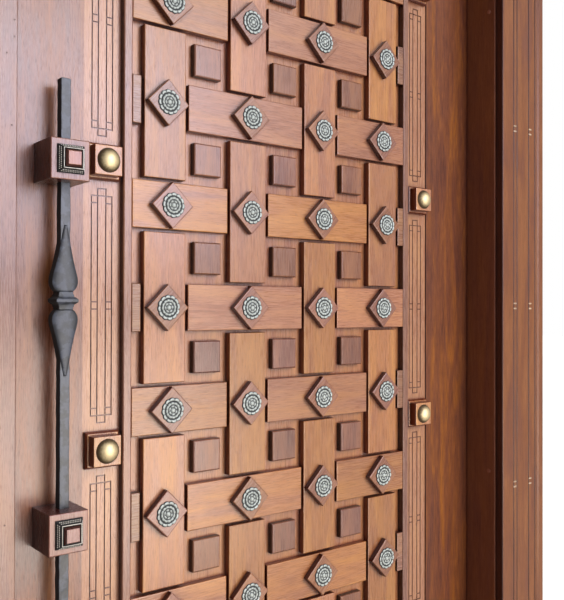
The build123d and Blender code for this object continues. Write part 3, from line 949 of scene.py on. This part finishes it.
def bar_levels(low, high):
    """Heights along the bar and its half width there, uneven where the hammer fell."""
    chance = random.Random("forged bar")
    count = round((high - low) / dent_pitch)
    levels = [(low, bar_half - bar_ease), (low + bar_ease, bar_half)]
    for index in range(1, count):
        shift = chance.uniform(-dent_shift, dent_shift) * dent_pitch
        level = low + (high - low) * index / count + shift
        levels.append((level, bar_half - chance.uniform(0, dent_depth)))
    return levels + [(high - bar_ease, bar_half), (high, bar_half - bar_ease)]


def build_bar():
    """The forged bar: a square rod, two blades and a collared neck."""
    low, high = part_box("handle_bar")
    bm = bmesh.new()
    layer = bm.verts.layers.float.new("shine")
    middle = (low + high) / 2
    foot = Vector((middle.x, middle.y, 0))
    close_rod(bm, [
        square_ring(bm, layer, foot, half, bar_ease, level, 1.0, "Z")
        for level, half in bar_levels(low.z, high.z)
    ])
    for upward in (1, -1):
        add_blade(bm, layer, middle, upward)
    neck = Vector((middle.x, middle.y, knuckle_height))
    profile = [*neck_profile, *((half, -level) for half, level in neck_profile[::-1])]
    close_rod(bm, [
        square_ring(bm, layer, neck, half, neck_ease, level, neck_shine, "Z")
        for half, level in profile
    ])
    bmesh.ops.recalc_face_normals(bm, faces=bm.faces)
    # the sides marked here get the painted shade
    mark_sides(bm, bar_side_limit)
    smooth_edges(finished(bm, "handle_bar_forged", iron, "leaf", "handle_iron", "handle_bar"))


def build_ornaments():
    """The square metal frames on the cubes, with two rows of beads on each sloping side."""
    bm = bmesh.new()
    layer = bm.verts.layers.float.new("shine")
    for low, high in solid_extents("handle_ornament_frames"):
        middle = Vector(((low.x + high.x) / 2, high.y, (low.z + high.z) / 2))
        rings = [
            square_ring(bm, layer, middle, half, ornament_ease, level, shine, "Y")
            for half, level, shine in ornament_profile
        ]
        join_rings(bm, rings + [rings[0]])
        for turn in range(4):
            add_beads(bm, layer, middle, math.pi / 2 * turn)
    bmesh.ops.recalc_face_normals(bm, faces=bm.faces)
    smooth_edges(finished(bm, "handle_ornament_frames_metal", bronze, "leaf", "ornament_metal",
                          "handle_ornament_frames"))


def add_beads(bm, layer, middle, turn):
    """The rows of small beads on one sloping side of an ornament frame."""
    for half, level in bead_rows:
        count = int(2 * (half - bead_row_end) / bead_pitch)
        for index in range(count):
            along = (index - (count - 1) / 2) * bead_pitch
            place = Vector((
                half * math.cos(turn) - along * math.sin(turn),
                -level,
                half * math.sin(turn) + along * math.cos(turn),
            ))
            bead = bmesh.ops.create_uvsphere(
                bm, u_segments=8, v_segments=5, radius=bead_radius,
                matrix=Matrix.Translation(middle + place),
            )
            for vertex in bead["verts"]:
                vertex[layer] = 1.0


# Small hardware

def add_key(bm, x, y_front, z):
    """A small wooden strip let into a casing, which stands a little out from it."""
    made = bmesh.ops.create_cube(bm, size=1.0)
    size = Vector((key_width, key_root + key_stand, key_thickness))
    centre = Vector((x, y_front + (key_root - key_stand) / 2, z))
    for vertex in made["verts"]:
        vertex.co = centre + Vector(a * b for a, b in zip(vertex.co, size))


def build_keys():
    """Pairs of small wooden keys across the grooves of both upright casings."""
    for side, node in ((-1, "casing_lock_side"), (1, "casing_hinge_side")):
        low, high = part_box(node)
        inner = high.x if side < 0 else low.x
        bm = bmesh.new()
        for column in key_columns:
            for level in key_levels:
                for pair in (-0.5, 0.5):
                    z = key_middle + level + pair * key_gap
                    add_key(bm, inner + side * column, high.y - key_seat, z)
        bmesh.ops.bevel(bm, geom=bm.edges[:], offset=key_ease, segments=1, affect="EDGES")
        paint_grain(bm, f"keys {side}", "X")
        mark_sides(bm, no_sides)
        finished(bm, f"{node}_keys", key_wood, "frame", "frame_wood")


def add_cap(bm, middle, radius, height, outward, rings=4, spokes=20, slot=False):
    """A low round cap on a surface that faces along X or Y, plain or with a slot across it."""
    outward = Vector(outward)
    up = Vector((0, 0, 1))
    across = outward.cross(up)
    rows = []
    for ring in range(1, rings + 1):
        share = ring / rings
        rise = height * (1 - share**2)
        row = []
        for spoke in range(spokes):
            angle = math.tau * spoke / spokes
            place = up * math.cos(angle) + across * math.sin(angle)
            in_slot = slot and share < slot_reach and abs(place.z * share) < slot_half
            sink = slot_depth if in_slot else 0.0
            row.append(bm.verts.new(middle + place * radius * share + outward * (rise - sink)))
        rows.append(row)
    tip = bm.verts.new(middle + outward * (height - (slot_depth if slot else 0.0)))
    rows.append([bm.verts.new(vertex.co - outward * cap_root) for vertex in rows[-1]])
    close_cap(bm, tip, rows)


def build_screws():
    """Three slotted screws in each hinge plate."""
    for node, body, facing, plate in (
        ("hinge_leaf_halves", "leaf", 1, leaf_plate_x),
        ("hinge_jamb_halves", "frame", -1, jamb_plate_x),
    ):
        bm = bmesh.new()
        for low, high in solid_extents(node):
            for offset in hinge_screw_offsets:
                place = Vector((plate, hinge_screw_y, (low.z + high.z) / 2 + offset))
                add_cap(bm, place, screw_radius, screw_height, (facing, 0, 0), slot=True)
        bmesh.ops.recalc_face_normals(bm, faces=bm.faces)
        smooth_edges(finished(bm, f"{node}_screws", steel, body, "hinge_steel"))


def build_plugs():
    """Wooden plugs in the mouths of the fixing holes."""
    bm = bmesh.new()
    for side in (-1, 1):
        for level in plug_levels:
            place = Vector((side * plug_x, plug_y, level))
            add_cap(bm, place, plug_radius, plug_height, (-side, 0, 0))
    bmesh.ops.recalc_face_normals(bm, faces=bm.faces)
    paint_grain(bm, "plugs", "Z")
    mark_sides(bm, no_sides)
    smooth(finished(bm, "fixing_plugs", frame_wood, "frame", "frame_wood"))


def build_nails():
    """Filled nail holes in the lock-side post."""
    bm = bmesh.new()
    for x, z in nail_places:
        place = Vector((x, post_front_y, z))
        add_cap(bm, place, nail_radius, nail_height, (0, -1, 0), rings=2, spokes=12)
    bmesh.ops.recalc_face_normals(bm, faces=bm.faces)
    smooth(finished(bm, "post_nail_marks", filler, "frame", "post_wood"))


# Stage, camera and light

def build_camera():
    """The photograph's viewpoint."""
    forward = Vector((
        math.sin(camera_yaw) * math.cos(camera_pitch),
        math.cos(camera_yaw) * math.cos(camera_pitch),
        math.sin(camera_pitch),
    ))
    level_right = forward.cross(Vector((0, 0, 1))).normalized()
    level_up = level_right.cross(forward)
    right = level_right * math.cos(camera_roll) + level_up * math.sin(camera_roll)
    up = level_up * math.cos(camera_roll) - level_right * math.sin(camera_roll)
    data = bpy.data.cameras.new("camera")
    data.sensor_width = sensor_size
    data.lens = focal_pixels / photo_height * sensor_size
    camera = bpy.data.objects.new("camera", data)
    turn = Matrix((right, up, -forward)).transposed().to_4x4()
    camera.matrix_world = Matrix.Translation(camera_place) @ turn
    bpy.context.scene.collection.objects.link(camera)
    bpy.context.scene.camera = camera


def direction(azimuth, elevation):
    """A unit vector from its turn away from -Y towards +X, and its rise."""
    return Vector((
        math.sin(azimuth) * math.cos(elevation),
        -math.cos(azimuth) * math.cos(elevation),
        math.sin(elevation),
    ))


def add_lamp(name, kind, power, color, behind, place=(0, 0, 0)):
    """A lamp that shines away from the direction behind it."""
    data = bpy.data.lights.new(name, kind)
    data.energy = power
    data.color = color
    lamp = bpy.data.objects.new(name, data)
    lamp.location = place
    lamp.rotation_mode = "QUATERNION"
    lamp.rotation_quaternion = behind.to_track_quat("Z", "Y")
    bpy.context.scene.collection.objects.link(lamp)
    return lamp


def add_sun(name, azimuth, elevation, strength, color):
    """A distant soft light from one direction."""
    lamp = add_lamp(name, "SUN", strength, color, direction(azimuth, elevation))
    lamp.data.angle = sun_softness


def add_panel(name, place, width, height, power, color):
    """A rectangular light that faces the door."""
    lamp = add_lamp(name, "AREA", power, color, Vector((0, -1, 0)), place)
    lamp.data.shape = "RECTANGLE"
    lamp.data.size = width
    lamp.data.size_y = height
    return lamp


def build_lights():
    """The main light, a broad fill, a weak light from behind, and the cards for the gloss."""
    add_sun("key", main_azimuth, main_elevation, main_strength, main_color)
    add_sun("back", back_azimuth, back_elevation, back_strength, back_color)
    fill = add_panel("fill", fill_place, fill_size, fill_size, fill_power, fill_color)
    fill.visible_glossy = False
    width = card_high_x - card_low_x
    power = card_radiance * math.pi * width * card_height
    for name, side, color in (
        ("upper_card", 1, upper_card_color),
        ("lower_card", -1, lower_card_color),
    ):
        rise = side * (card_gap + card_height) / 2
        middle = Vector(((card_low_x + card_high_x) / 2, card_y, card_middle_z + rise))
        card = add_panel(name, middle, width, card_height, power, color)
        card.visible_diffuse = False
        card.visible_camera = False


def camera_or_gloss(tree):
    """One for camera, glossy and transmission rays, and nothing for the rest."""
    path = add(tree, "ShaderNodeLightPath")
    total = weighted(
        tree,
        (path.outputs["Is Camera Ray"], 1.0),
        (path.outputs["Is Glossy Ray"], 1.0),
        (path.outputs["Is Transmission Ray"], 1.0),
    )
    return calculate(tree, "MINIMUM", total, 1.0)


def build_world():
    """A pale world that shows white to the camera and lights the object softly."""
    world = bpy.data.worlds.new("world")
    bpy.context.scene.world = world
    world.use_nodes = True
    tree = world.node_tree
    strength = ranged(tree, camera_or_gloss(tree), 0.0, 1.0, world_strength, 1.0)
    set_inputs(tree, tree.nodes["Background"], Color=white, Strength=strength)


def build_floor():
    """A plain white floor that keeps the door's shadow."""
    bpy.ops.mesh.primitive_plane_add(size=floor_size, location=(0, 0, 0))
    floor = bpy.context.active_object
    floor.name = "floor"
    material, tree, shader = new_material("floor")
    set_inputs(
        tree,
        shader,
        Base_Color=floor_color,
        Roughness=1.0,
        Specular_IOR_Level=0.0,
        Emission_Color=white,
        Emission_Strength=calculate(tree, "MULTIPLY", camera_or_gloss(tree), floor_lift),
    )
    floor.data.materials.append(material)


dress_wood()
dress_metal()
build_rosettes()
build_domes()
build_bar()
build_ornaments()
build_keys()
build_screws()
build_plugs()
build_nails()
build_camera()
build_lights()
build_world()
build_floor()

bpy.context.scene.view_settings.view_transform = "Standard"
